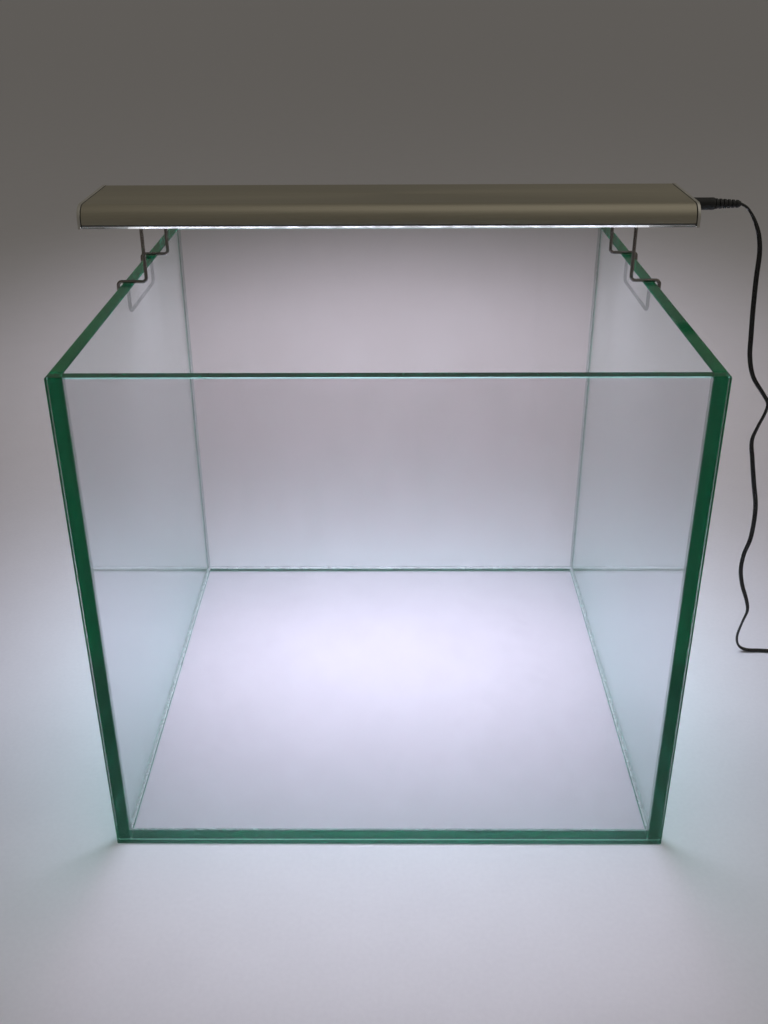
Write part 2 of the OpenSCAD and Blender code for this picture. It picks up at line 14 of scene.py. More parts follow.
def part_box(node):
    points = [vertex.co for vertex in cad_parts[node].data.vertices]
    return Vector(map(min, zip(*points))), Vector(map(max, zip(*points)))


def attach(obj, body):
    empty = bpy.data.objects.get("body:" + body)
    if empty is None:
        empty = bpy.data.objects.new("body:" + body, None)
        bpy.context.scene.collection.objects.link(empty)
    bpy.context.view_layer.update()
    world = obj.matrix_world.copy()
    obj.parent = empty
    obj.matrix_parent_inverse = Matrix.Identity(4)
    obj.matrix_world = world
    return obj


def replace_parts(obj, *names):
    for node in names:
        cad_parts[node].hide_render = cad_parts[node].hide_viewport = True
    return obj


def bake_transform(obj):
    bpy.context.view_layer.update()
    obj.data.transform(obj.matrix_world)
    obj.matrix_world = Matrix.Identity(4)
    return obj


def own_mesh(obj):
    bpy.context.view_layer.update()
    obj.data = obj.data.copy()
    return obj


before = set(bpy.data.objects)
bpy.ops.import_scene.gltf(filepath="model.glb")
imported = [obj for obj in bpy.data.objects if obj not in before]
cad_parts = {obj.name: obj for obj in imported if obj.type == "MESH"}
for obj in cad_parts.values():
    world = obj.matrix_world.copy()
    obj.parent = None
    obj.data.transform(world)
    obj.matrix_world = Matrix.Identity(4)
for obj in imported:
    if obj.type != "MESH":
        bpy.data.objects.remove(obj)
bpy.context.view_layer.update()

MM = 0.001
UP = Vector((0, 0, 1))

# Sizes that the frame's boxes don't give, in metres
ARRIS = 0.8 * MM
BEAD = 2.4 * MM
FILM_GAP = 0.03 * MM
FLOOR_DROP = 0.3 * MM
FLOOR_HALF = 40
CORD_WIDTH, CORD_THICK = 4.6 * MM, 2.4 * MM
WIRE_R = 1.5 * MM
WIRE_GAP = 0.3 * MM


# ---- Camera, floor and light ----


def make_camera():
    """The photograph's viewpoint, with its angles of yaw, pitch and roll in degrees."""
    data = bpy.data.cameras.new("camera")
    data.sensor_width = 36
    data.lens = 37.6
    camera = bpy.data.objects.new("camera", data)
    yaw, pitch, roll = (math.radians(a) for a in (0.536, -27.28, -0.3))
    camera.matrix_world = (
        Matrix.Translation((0.0037, -0.8855, 0.6499))
        @ Matrix.Rotation(yaw, 4, "Z")
        @ Matrix.Rotation(math.pi / 2 + pitch, 4, "X")
        @ Matrix.Rotation(roll, 4, "Z")
    )
    bpy.context.scene.collection.objects.link(camera)
    bpy.context.scene.camera = camera


def area_light(name, at, target, size, power, colour):
    """A soft rectangular lamp at a point, facing another point."""
    data = bpy.data.lights.new(name, "AREA")
    data.shape = "RECTANGLE"
    data.size, data.size_y = size
    data.energy = power
    data.color = colour
    lamp = bpy.data.objects.new(name, data)
    facing = (Vector(target) - Vector(at)).to_track_quat("-Z", "Y").to_matrix().to_4x4()
    lamp.matrix_world = Matrix.Translation(at) @ facing
    lamp.visible_camera = False
    bpy.context.scene.collection.objects.link(lamp)
    return lamp


# Lamps that face straight down: name, y and z, size, power, and spread in degrees
WASHES = (
    ("back_wash", 1.05, 1.5, (0.45, 1.3), 3.2, 72),
    ("front_wash", -0.35, 0.9, (0.6, 0.05), 0.15, 34),
)


def make_lights():
    """Dim soft room light, a wash behind the tank and one in front of it, and the light's own
    glow, which rides on it."""
    world = bpy.data.worlds.new("room")
    world.use_nodes = True
    sky = world.node_tree.nodes["Background"]
    sky.inputs["Color"].default_value = (1.0, 0.95, 0.83, 1)
    sky.inputs["Strength"].default_value = 0.14
    bpy.context.scene.world = world
    area_light("ceiling", (1.3, -0.2, 2.4), (0, 0.1, 0.3), (3, 4), 10, (1, 0.95, 0.87))
    for name, y, z, size, power, angle in WASHES:
        wash = area_light(name, (0, y, z), (0, y, 0), size, power, (0.96, 0.92, 1.0))
        wash.data.spread = math.radians(angle)
        wash.visible_glossy = False
    lo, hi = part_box("leds")
    middle = (lo + hi) / 2
    size = (hi.x - lo.x, hi.y - lo.y)
    below = middle - 1.5 * MM * UP
    glow = area_light("led_glow", below, middle - UP, size, 2.3, (0.82, 0.84, 1.0))
    glow.data.spread = math.radians(114)
    glow.visible_glossy = False
    glow.visible_transmission = False
    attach(glow, "light")


def make_floor():
    """A wide pale table top, just under the panes."""
    bm = bmesh.new()
    bmesh.ops.create_grid(bm, x_segments=8, y_segments=8, size=FLOOR_HALF)
    mesh = bpy.data.meshes.new("floor")
    bm.to_mesh(mesh)
    bm.free()
    mesh.materials.append(
        finish("table_top", (0.73, 0.71, 0.76), (0.77, 0.75, 0.80), 260, (0.42, 0.5), 0.004)
    )
    floor = bpy.data.objects.new("floor", mesh)
    floor.location.z = -FLOOR_DROP
    bpy.context.scene.collection.objects.link(floor)


# ---- Building materials ----


def add(tree, kind, inputs=None, **settings):
    """Adds a shader node. An input is a value or another node's output."""
    node = tree.nodes.new("ShaderNode" + kind)
    for name, value in settings.items():
        setattr(node, name, value)
    for key, value in (inputs or {}).items():
        if isinstance(value, bpy.types.NodeSocket):
            tree.links.new(value, node.inputs[key])
        else:
            node.inputs[key].default_value = value
    return node


def new_look(name):
    """An empty material and its node tree."""
    material = bpy.data.materials.new(name)
    material.use_nodes = True
    material.node_tree.nodes.clear()
    return material, material.node_tree


def grain(tree, scale, stretch=(1, 1, 1), detail=4):
    """A noise field from 0 to 1 in the object's own metres, finer along the axes that stretch more."""
    place = add(tree, "TexCoord").outputs["Object"]
    scaled = add(tree, "Mapping", {"Vector": place, "Scale": stretch}).outputs[0]
    return add(tree, "TexNoise", {"Vector": scaled, "Scale": scale, "Detail": detail}).outputs[0]


def spread(tree, value, low, high, start=0.3, end=0.7):
    """Turns a field's range from start to end into low to high."""
    inputs = {"Value": value, 1: start, 2: end, 3: low, 4: high}
    return add(tree, "MapRange", inputs).outputs[0]


def maths(tree, operation, a, b=0.0):
    """The outcome of one calculation on fields or numbers."""
    return add(tree, "Math", {0: a, 1: b}, operation=operation).outputs[0]


def sum_of(tree, a, share, b):
    """A share of one field plus the rest of another."""
    rest = maths(tree, "MULTIPLY", b, 1 - share)
    return add(tree, "Math", {0: a, 1: share, 2: rest}, operation="MULTIPLY_ADD").outputs[0]


def mixed(tree, factor, a, b):
    """One colour turning into another as a factor goes from 0 to 1."""
    inputs = {"Factor": factor, 6: a, 7: b}
    return add(tree, "Mix", inputs, data_type="RGBA").outputs[2]


def shade_between(tree, value, a, b):
    """A field as shades from one colour to another."""
    return mixed(tree, spread(tree, value, 0, 1), (*a, 1), (*b, 1))


def relief(tree, height, depth_mm):
    """A bump from a field, in millimetres."""
    inputs = {"Height": height, "Distance": depth_mm * MM, "Strength": 1}
    return add(tree, "Bump", inputs).outputs[0]


def opaque(material, tree, inputs):
    """Ends a material with one opaque surface."""
    surface = add(tree, "BsdfPrincipled", inputs)
    add(tree, "OutputMaterial", {"Surface": surface.outputs[0]})
    return material


def finish(name, dark, light, scale, rough, relief_mm, stretch=(1, 1, 1), **sockets):
    """A surface whose colour, roughness and relief vary with fine grain and broad wear."""
    material, tree = new_look(name)
    fine = grain(tree, scale, stretch)
    broad = grain(tree, scale / 14, stretch, 2)
    both = sum_of(tree, fine, 0.6, broad)
    inputs = {
        "Base Color": shade_between(tree, both, dark, light),
        "Roughness": spread(tree, both, *rough),
        "Normal": relief(tree, fine, relief_mm),
    }
    inputs.update({key.replace("_", " "): value for key, value in sockets.items()})
    return opaque(material, tree, inputs)


# ---- Materials ----


def lets_lamps_through(tree, surface, share=1.0, always=0.0, tint=(1, 1, 1)):
    """Lets a share of lamp light and bounced light straight through, tinted at each face, so
    that what is behind glass is lit. Everything goes straight through where always is 1."""
    path = add(tree, "LightPath").outputs
    lamp = maths(tree, "MAXIMUM", path["Is Shadow Ray"], path["Is Diffuse Ray"])
    open_to = maths(tree, "MAXIMUM", maths(tree, "MULTIPLY", lamp, share), always)
    clear = add(tree, "BsdfTransparent", {"Color": (*tint, 1)}).outputs[0]
    return add(tree, "MixShader", {0: open_to, 1: surface, 2: clear}).outputs[0]


def glass_look():
    """Float glass: nearly clear across its thickness, and deep green along its length. The
    large faces' colour evens out the tint of one crossing, and edges add to the green. The
    tint of reflections seen head-on keeps the pale room from greying it. Edges stop most of
    the lamps' light. Faces marked bonded touch the next pane's silicone, so light goes
    straight on there."""
    material, tree = new_look("float_glass")
    edge = add(tree, "Attribute", attribute_name="edge").outputs["Fac"]
    bonded = add(tree, "Attribute", attribute_name="bonded").outputs["Fac"]
    dust = grain(tree, 34, (1, 1, 0.35), 6)
    ground = grain(tree, 420, (1, 1, 1), 3)
    even = shade_between(tree, dust, (0.99, 0.885, 0.92), (1.0, 0.895, 0.93))
    inputs = {
        "Base Color": mixed(tree, edge, even, (0.45, 1.0, 0.82, 1)),
        "Transmission Weight": maths(tree, "MAXIMUM", edge, spread(tree, dust, 0.99, 0.965)),
        "Roughness": maths(tree, "MULTIPLY", edge, spread(tree, ground, 0.03, 0.11)),
        "IOR": 1.52,
        "Specular Tint": (0.1, 0.5, 0.4, 1),
        "Normal": relief(tree, grain(tree, 5, (1, 1, 1), 1), 0.05),
    }
    surface = add(tree, "BsdfPrincipled", inputs).outputs[0]
    green = add(tree, "VolumeAbsorption", {"Color": (0.12, 0.81, 0.65, 1), "Density": 16})
    lit = maths(tree, "SUBTRACT", 1.0, maths(tree, "MULTIPLY", edge, 0.75))
    open_surface = lets_lamps_through(tree, surface, lit, bonded, (1.0, 0.946, 0.962))
    add(tree, "OutputMaterial", {"Surface": open_surface, "Volume": green.outputs[0]})
    return material


def silicone_look(name, dark, light, alpha):
    """Translucent silicone with a softly uneven tooled surface."""
    return finish(name, dark, light, 160, (0.18, 0.34), 0.12, Alpha=alpha)


def anodised_look(name, dark, light, lines):
    """Satin anodised aluminium, with fine lines left by the extrusion die or the brush."""
    return finish(
        name, dark, light, 900, (0.40, 0.50), 0.006, lines, Metallic=1.0, Anisotropic=0.35
    )


def acrylic_look():
    """Clear acrylic. The foot of its long edges has a painted glow where the rows of LEDs shine into
    them, and the rest of those edges is painted dark grey as shade."""
    material, tree = new_look("acrylic")
    leds_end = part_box("leds")[1].x
    place = add(tree, "SeparateXYZ", {0: add(tree, "TexCoord").outputs["Object"]}).outputs
    facing = add(tree, "SeparateXYZ", {0: add(tree, "NewGeometry").outputs["Normal"]}).outputs
    on_edge = maths(tree, "GREATER_THAN", maths(tree, "ABSOLUTE", facing["Y"]), 0.7)
    # A painted glow: emission along the foot of the long edges, fading past the ends of the LED rows,
    # with streaks.
    beyond = maths(tree, "SUBTRACT", maths(tree, "ABSOLUTE", place["X"]), leds_end - 10 * MM)
    along = spread(tree, beyond, 1, 0.1, 0, 32 * MM)
    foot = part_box("clear_cover")[0].z
    low_down = spread(tree, place["Z"], 1, 0, foot + 1.3 * MM, foot + 1.9 * MM)
    streaks = spread(tree, grain(tree, 60, (1, 1, 1), 3), 0.8, 1.1)
    lit = maths(tree, "MULTIPLY", maths(tree, "MULTIPLY", along, low_down), streaks)
    glow = maths(tree, "MULTIPLY", on_edge, lit)
    # A painted shade: the long edges above the foot are painted dark grey and opaque.
    painted_shade_band = maths(tree, "MULTIPLY", on_edge, maths(tree, "SUBTRACT", 1.0, low_down))
    scuffs = grain(tree, 90, (1, 1, 1), 5)
    clear = shade_between(tree, scuffs, (0.95, 0.97, 1.0), (0.98, 0.99, 1.0))
    through = spread(tree, scuffs, 0.995, 0.95, 0.4, 0.8)
    inputs = {
        "Base Color": mixed(tree, painted_shade_band, clear, (0.13, 0.13, 0.135, 1)),
        "Transmission Weight": maths(tree, "SUBTRACT", through, painted_shade_band),
        "Roughness": maths(tree, "MAXIMUM", spread(tree, scuffs, 0.01, 0.06), painted_shade_band),
        "IOR": 1.49,
        "Emission Color": (0.93, 0.95, 1.0, 1),
        "Emission Strength": maths(tree, "MULTIPLY", glow, 0.35),
    }
    surface = add(tree, "BsdfPrincipled", inputs).outputs[0]
    add(tree, "OutputMaterial", {"Surface": lets_lamps_through(tree, surface)})
    return material


def led_window_look():
    """The phosphor of a lit LED: yellowish, and far brighter than anything around it."""
    return finish(
        "led_phosphor", (0.93, 0.80, 0.30), (0.98, 0.90, 0.45), 2400, (0.3, 0.5), 0.01,
        Emission_Color=(0.95, 0.97, 1.0, 1), Emission_Strength=45.0,
    )


def woven_look():
    """Black hook-and-loop strap: fine ribs across a nap."""
    material, tree = new_look("hook_and_loop")
    place = add(tree, "TexCoord").outputs["Object"]
    ribs = add(
        tree, "TexWave",
        {"Vector": place, "Scale": 420, "Distortion": 1.5, "Detail": 2, "Detail Scale": 3},
        bands_direction="DIAGONAL",
    ).outputs[1]
    nap = grain(tree, 2600, (1, 1, 1), 3)
    both = sum_of(tree, ribs, 0.5, nap)
    inputs = {
        "Base Color": shade_between(tree, both, (0.008, 0.008, 0.009), (0.045, 0.045, 0.05)),
        "Roughness": spread(tree, nap, 0.75, 0.95),
        "Sheen Weight": 0.4,
        "Normal": relief(tree, both, 0.12),
    }
    return opaque(material, tree, inputs)


def board_look(name, mask, tracked, pitch):
    """A circuit board: solder mask, in another shade where tracks run under it."""
    material, tree = new_look(name)
    place = add(tree, "TexCoord").outputs["Object"]
    tracks = add(
        tree, "TexBrick",
        {"Vector": place, "Scale": 1 / pitch, "Mortar Size": 0.06, "Mortar Smooth": 0.1,
         "Brick Width": 1.8, "Row Height": 0.9},
        offset=0.5,
    ).outputs["Fac"]
    speckle = grain(tree, 1500)
    inputs = {
        "Base Color": shade_between(tree, maths(tree, "MULTIPLY", tracks, 0.9), mask, tracked),
        "Roughness": spread(tree, speckle, 0.28, 0.45),
        "Normal": relief(tree, maths(tree, "MULTIPLY", tracks, -1.0), 0.03),
        "Coat Weight": 0.3,
    }
    return opaque(material, tree, inputs)


def make_looks():
    """Every material, by what it covers."""
    return {
        "glass": glass_look(),
        "bead": silicone_look("silicone_bead", (0.62, 0.66, 0.68), (0.78, 0.82, 0.84), 0.32),
        "corner_bead": silicone_look("corner_bead", (0.16, 0.24, 0.23), (0.26, 0.36, 0.35), 0.2),
        "film": silicone_look("silicone_film", (0.002, 0.15, 0.08), (0.004, 0.21, 0.12), 0.25),
        "anodised": anodised_look(
            "anodised_extrusion", (0.45, 0.415, 0.33), (0.53, 0.49, 0.395), (0.02, 1, 1)
        ),
        "cap_metal": anodised_look(
            "anodised_plate", (0.62, 0.60, 0.55), (0.72, 0.70, 0.66), (1, 1, 0.05)
        ),
        "acrylic": acrylic_look(),
        "gasket_rubber": finish(
            "gasket_rubber", (0.012, 0.012, 0.012), (0.03, 0.03, 0.03), 900, (0.6, 0.8), 0.03
        ),
        "plated_metal": finish(
            "nickel_plate", (0.70, 0.68, 0.64), (0.82, 0.80, 0.77), 1400, (0.14, 0.3), 0.006,
            Metallic=1.0,
        ),
        "steel_wire": finish(
            "drawn_steel", (0.20, 0.18, 0.17), (0.34, 0.31, 0.29), 700, (0.10, 0.24), 0.006,
            (1, 1, 0.15), Metallic=1.0,
        ),
        "thermal_tape": finish(
            "thermal_tape", (0.50, 0.50, 0.49), (0.62, 0.62, 0.60), 800, (0.7, 0.9), 0.03
        ),
        "white_board": board_look("white_board", (0.86, 0.87, 0.84), (0.72, 0.74, 0.70), 8.8 * MM),
        "green_board": board_look("green_board", (0.01, 0.12, 0.05), (0.03, 0.24, 0.10), 2.4 * MM),
        "led_body": finish(
            "led_package", (0.80, 0.80, 0.76), (0.92, 0.92, 0.90), 2200, (0.3, 0.5), 0.01
        ),
        "led_window": led_window_look(),
        "electronic_parts": finish(
            "component_bodies", (0.014, 0.014, 0.016), (0.04, 0.04, 0.045), 1300, (0.35, 0.6),
            0.02,
        ),
        "black_plastic": finish(
            "moulded_plastic", (0.007, 0.007, 0.008), (0.018, 0.018, 0.019), 1900, (0.42, 0.6),
            0.05,
        ),
        "red_lead": finish(
            "lead_insulation", (0.30, 0.02, 0.015), (0.42, 0.04, 0.03), 900, (0.35, 0.5), 0.01
        ),
        "black_rubber": finish(
            "moulded_rubber", (0.007, 0.007, 0.008), (0.02, 0.02, 0.021), 1100, (0.38, 0.56),
            0.03,
        ),
        "cord_pvc": finish(
            "cord_pvc", (0.006, 0.006, 0.006), (0.017, 0.017, 0.017), 800, (0.22, 0.38), 0.02
        ),
        "tie_fabric": woven_look(),
        "pin_sleeve": finish(
            "pin_sleeve", (0.012, 0.012, 0.012), (0.025, 0.025, 0.026), 1500, (0.3, 0.45), 0.01
        ),
    }


# ---- Building meshes ----


def make(name, bm, body, looks, stands_for=(), sharp=34):
    """Turns a bmesh into a piece that rides on a body and may stand for CAD nodes. Edges
    sharper than so many degrees stay sharp."""
    bmesh.ops.recalc_face_normals(bm, faces=bm.faces)
    mesh = bpy.data.meshes.new(name)
    bm.to_mesh(mesh)
    bm.free()
    for look in looks:
        mesh.materials.append(look)
    mesh.shade_smooth()
    mesh.set_sharp_from_angle(angle=math.radians(sharp))
    obj = bpy.data.objects.new(name, mesh)
    bpy.context.scene.collection.objects.link(obj)
    flats = obj.modifiers.new("flats", "WEIGHTED_NORMAL")
    flats.keep_sharp = True
    if body:
        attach(obj, body)
    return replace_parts(obj, *stands_for)


def skin(bm, rings, ends=True, closed=False, material=0):
    """Adds a skin through rings of points, capped at its ends or closed on itself."""
    rows = [[bm.verts.new(p) for p in ring] for ring in rings]
    pairs = list(zip(rows, rows[1:])) + ([(rows[-1], rows[0])] if closed else [])
    faces = []
    for a, b in pairs:
        for k in range(len(a)):
            m = (k + 1) % len(a)
            faces.append(bm.faces.new((a[k], b[k], b[m], a[m])))
    if ends and not closed:
        faces += [bm.faces.new(rows[0]), bm.faces.new(rows[-1])]
    for face in faces:
        face.material_index = material
    return faces


def carried(path, side):
    """Each point's heading, and a side direction carried along the path without twisting."""
    last = len(path) - 1
    found = []
    for i in range(len(path)):
        t = (path[min(i + 1, last)] - path[max(i - 1, 0)]).normalized()
        side = (side - side.dot(t) * t).normalized()
        found.append((t, side))
    return found


def sweep(path, side, profile, turns=None, girth=None):
    """Rings of a (wide, thick) profile along a path, turned in degrees and scaled at each point."""
    rings = []
    for i, (t, s) in enumerate(carried(path, Vector(side))):
        n = t.cross(s)
        a = math.radians(turns[i]) if turns else 0
        g = girth[i] if girth else 1
        wide, thick = math.cos(a) * s + math.sin(a) * n, math.cos(a) * n - math.sin(a) * s
        rings.append([path[i] + g * (u * wide + v * thick) for u, v in profile])
    return rings


def circle(r, count=24):
    """Points round a circle about the origin."""
    angles = [2 * math.pi * k / count for k in range(count)]
    return [(r * math.cos(a), r * math.sin(a)) for a in angles]


def round_rect(w, h, r, steps=6):
    """A w by h outline about the origin with corners of radius r."""
    points = []
    for k, (sx, sy) in enumerate(((1, 1), (-1, 1), (-1, -1), (1, -1))):
        for i in range(steps + 1):
            a = math.pi / 2 * (k + i / steps)
            points.append((
                sx * (w / 2 - r) + r * math.cos(a),
                sy * (h / 2 - r) + r * math.sin(a),
            ))
    return points


def filleted(corners, radii, steps=8):
    """A polyline with each inner corner rounded to its radius."""
    path = [corners[0]]
    for before, corner, after, r in zip(corners, corners[1:], corners[2:], radii):
        u, v = (before - corner).normalized(), (after - corner).normalized()
        half = u.angle(v) / 2
        centre = corner + (u + v).normalized() * r / math.sin(half)
        start, end = corner + u * r / math.tan(half), corner + v * r / math.tan(half)
        a, b = start - centre, end - centre
        arc = a.angle(b)
        for i in range(steps + 1):
            k = i / steps
            path.append(
                centre + (math.sin((1 - k) * arc) * a + math.sin(k * arc) * b) / math.sin(arc)
            )
    return path + [corners[-1]]


def between(a, b, c, d, t):
    """A point between b and c on the smooth curve through a, b, c and d."""
    return 0.5 * (
        2 * b + (c - a) * t + (2 * a - 5 * b + 4 * c - d) * t * t
        + (3 * b - a - 3 * c + d) * t * t * t
    )


def smoothed(route, n):
    """A smooth line through a route's points, with n steps from each to the next."""
    last = len(route) - 1
    line = [
        between(route[max(i - 1, 0)], route[i], route[i + 1], route[min(i + 2, last)], k / n)
        for i in range(last)
        for k in range(n)
    ]
    return line + [route[last]]


def dress(look, *nodes):
    """Gives CAD nodes that stay visible their finished material."""
    for name in nodes:
        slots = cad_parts[name].data.materials
        slots.clear()
        slots.append(look)


# ---- Cord ----

# The route from the plug, as in the CAD model: millimetres out from the light's end cap,
# behind the plug's axis and up, and the turn of the flat side about the cord in degrees.
CORD_ROUTE = [
    (46, 0, 463.1, 0), (47.5, 0, 463, 0), (54, 0, 459, 0), (61, 0, 449.5, 30),
    (67, 0, 436, 60), (70, 0, 420, 80), (70.5, 0, 398, 90), (72, 0, 370, 90),
    (74, 0, 345, 90), (76, 0, 325, 80), (82, 0, 306, 60), (94, 0, 289, 45),
    (99.5, 0, 280, 40), (98.5, 0, 270, 40), (93.5, 0, 255, 45), (90.5, 0, 241, 60),
    (94, 0, 222, 75), (99, 0, 198, 90), (105, 0, 170, 90), (105.5, 0, 138, 85),
    (101.5, 0, 118, 75), (101, 0, 100, 70), (105, 0, 82, 65), (112, 0, 64, 50),
    (115, 0, 51, 40), (112, 0, 37, 30), (109, 0, 20, 15), (112, 0, 8, 0),
    (121, 0, 2.2, 0), (136, 0, 1.4, 0), (151, -2, 1.3, 0), (165, -7, 1.8, 20),
    (179, -15, 2.3, 50), (192, -25, 2.7, 75), (201, -33.5, 3.1, 90),
]
# The lead from inside the coil to the adapter, from the coil's centre
LEAD_ROUTE = [
    (13, 13.2, 4.4, 80), (15, 8.5, 6.2, 50), (15.6, 3, 7.2, 20), (15.2, -4, 7.3, 0),
    (14, -12, 7.2, 0), (12.5, -22, 7.1, 0), (11, -32, 7.3, 0), (10.3, -40, 9, 0),
    (10, -46, 11.6, 0), (10, -51.8, 13.6, 0), (10, -55, 14, 0),
]
COIL_TURNS = 4.958
COIL_STEP = 2.5
COIL_START = 45
COIL_HEIGHT = 3.1


def coil_route(outer):
    """Turns of a flat spiral, clockwise and inwards, every 15 degrees, from the coil's centre."""
    count = round(COIL_TURNS * 24)
    points = []
    for k in range(count + 1):
        turn = COIL_TURNS * k / count
        a = math.radians(COIL_START - 360 * turn)
        r = outer - COIL_STEP * turn
        points.append((r * math.cos(a), r * math.sin(a), COIL_HEIGHT, 90))
    return points


def cord_line():
    """The cord's centreline with its turns, from the plug to the adapter."""
    cap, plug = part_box("right_end_cap")[1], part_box("plug_boot")
    axis_y = (plug[0].y + plug[1].y) / 2
    lo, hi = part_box("cord_coil")
    centre = (lo + hi) / 2
    outer = (hi.x - lo.x) / 2 / MM - CORD_THICK / MM / 2
    points = [
        (cap.x + x * MM, axis_y + y * MM, z * MM, turn) for x, y, z, turn in CORD_ROUTE
    ]
    points += [
        (centre.x + x * MM, centre.y + y * MM, z * MM, turn)
        for x, y, z, turn in coil_route(outer) + LEAD_ROUTE
    ]
    line = smoothed([Vector(p) for p in points], 5)
    return [Vector(p[:3]) for p in line], [p[3] for p in line]


def twin_profile():
    """Two round conductors side by side with a shallow groove between them."""
    r = CORD_THICK / 2
    offset = CORD_WIDTH / 2 - r
    half_arc = math.radians(140)
    steps = 10
    lobe = [half_arc * (2 * k / steps - 1) for k in range(steps + 1)]
    right = [(offset + r * math.cos(a), r * math.sin(a)) for a in lobe]
    return right + [(-u, -v) for u, v in right]


def make_cord(looks):
    """The cord as one piece, from the plug to the adapter."""
    path, turns = cord_line()
    bm = bmesh.new()
    skin(bm, sweep(path, (0, 1, 0), twin_profile(), turns))
    cord = make(
        "twin_cord", bm, None, [looks["cord_pvc"]],
        ("cord", "cord_coil", "adapter_lead"),
    )
    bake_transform(cord)
    return cord, path


def make_tie(looks):
    """A strap round the coil's turns, with its end lapped over on top."""
    lo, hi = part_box("cord_tie")
    centre = (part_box("cord_coil")[0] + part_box("cord_coil")[1]) / 2
    out = Vector(((lo.x + hi.x) / 2 - centre.x, (lo.y + hi.y) / 2 - centre.y, 0))
    middle = Vector((centre.x + out.x, centre.y + out.y, (lo.z + hi.z) / 2))
    out.normalize()
    strap_w, thick = 8 * MM, 0.8 * MM
    loop_w, loop_h = 16.4 * MM, hi.z - lo.z
    loop = [
        middle + u * out + v * UP
        for u, v in round_rect(loop_w - thick, loop_h - thick, 1.2 * MM)
    ]
    across = UP.cross(out)
    profile = round_rect(strap_w, thick, 0.38 * MM, 3)
    bm = bmesh.new()
    rings = []
    for k, p in enumerate(loop):
        t = (loop[(k + 1) % len(loop)] - loop[k - 1]).normalized()
        n = t.cross(across)
        rings.append([p + u * across + v * n for u, v in profile])
    skin(bm, rings, closed=True)
    top = middle + (loop_h / 2 + 0.45 * thick) * UP
    tail = [top + u * MM * out for u in (-5, -2, 1, 4, 5.5)]
    tail[-1] -= 0.5 * MM * UP
    skin(bm, sweep(tail, across, profile, girth=[0.9, 1, 1, 1, 0.9]))
    return make("coil_strap", bm, "tank", [looks["tie_fabric"]], ("cord_tie",))


# ---- Tank ----

PANES = ("front_pane", "back_pane", "left_pane", "right_pane", "bottom_pane")


def contact_zones(node):
    """Where this pane's faces are bonded to another pane's, as boxes that take in the joint."""
    lo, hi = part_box(node)
    zones = []
    for other in PANES:
        if other == node:
            continue
        low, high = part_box(other)
        zone, gaps = [], []
        for k in range(3):
            a, b = max(lo[k], low[k]), min(hi[k], high[k])
            if a > b:
                gaps.append(a - b)
                zone.append((b - ARRIS / 2, a + ARRIS / 2))
            else:
                zone.append((a + ARRIS, b - ARRIS))
        if len(gaps) == 1 and gaps[0] < 2 * ARRIS:
            zones.append(zone)
    return zones


def make_pane(node, looks):
    """An arrised pane, cut where its bonded zones end. Its edge faces and bonded faces are
    marked for the glass to read."""
    lo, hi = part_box(node)
    size = hi - lo
    bm = bmesh.new()
    bmesh.ops.create_cube(bm, size=1)
    bmesh.ops.scale(bm, vec=size, verts=bm.verts)
    bmesh.ops.translate(bm, vec=(lo + hi) / 2, verts=bm.verts)
    bmesh.ops.bevel(bm, geom=bm.edges[:], offset=ARRIS, segments=2, profile=0.4, affect="EDGES")
    thin = min(range(3), key=lambda k: size[k])
    margin = 1.5 * ARRIS
    zones = contact_zones(node)
    for zone in zones:
        for k in range(3):
            for at in zone[k]:
                if k == thin or not lo[k] + margin < at < hi[k] - margin:
                    continue
                normal = [float(j == k) for j in range(3)]
                point = [at if j == k else 0 for j in range(3)]
                bmesh.ops.bisect_plane(
                    bm, geom=bm.verts[:] + bm.edges[:] + bm.faces[:], plane_co=point,
                    plane_no=normal,
                )
    bm.normal_update()
    edge = bm.faces.layers.float.new("edge")
    bonded = bm.faces.layers.float.new("bonded")
    for face in bm.faces:
        middle = face.calc_center_median()
        face[edge] = float(abs(face.normal[thin]) < 0.9)
        face[bonded] = float(any(
            all(a < middle[k] < b for k, (a, b) in enumerate(zone)) for zone in zones
        ))
    return make("glass_" + node, bm, "tank", [looks["glass"]], (node,), 8)


def cove(bm, start, end, along_a, along_b):
    """A tooled bead of silicone in the corner between two faces, a little uneven."""
    spacing, arc_steps = 6 * MM, 6
    count = max(2, round((end - start).length / spacing))
    rings = []
    for i in range(count + 1):
        at = start.lerp(end, i / count)
        legs = [
            BEAD * (0.9 + 0.1 * noise.noise(at * 45 + Vector((0, 0, 9 * side))))
            for side in (0, 1)
        ]
        a, b = along_a * legs[0], along_b * legs[1]
        corner = at + (along_a + along_b) * FILM_GAP
        ring = [corner]
        for k in range(arc_steps + 1):
            angle = math.pi / 2 * k / arc_steps
            ring.append(corner + a * (1 - math.sin(angle)) + b * (1 - math.cos(angle)))
        rings.append(ring)
    skin(bm, rings)


def film(bm, lo, hi):
    """The thin layer of silicone in a butt joint."""
    inset = Vector((FILM_GAP, FILM_GAP, FILM_GAP))
    a, b = lo + inset, hi - inset
    outline = [(a.x, a.y), (b.x, a.y), (b.x, b.y), (a.x, b.y)]
    skin(bm, [[Vector((x, y, z)) for x, y in outline] for z in (a.z, b.z)], material=1)


def mirrored_box(x0, x1, y0, y1, z0, z1, sx, sy):
    """The box's lowest and highest corner after it is mirrored in X and in Y."""
    xs, ys = sorted((sx * x0, sx * x1)), sorted((sy * y0, sy * y1))
    return Vector((xs[0], ys[0], z0)), Vector((xs[1], ys[1], z1))


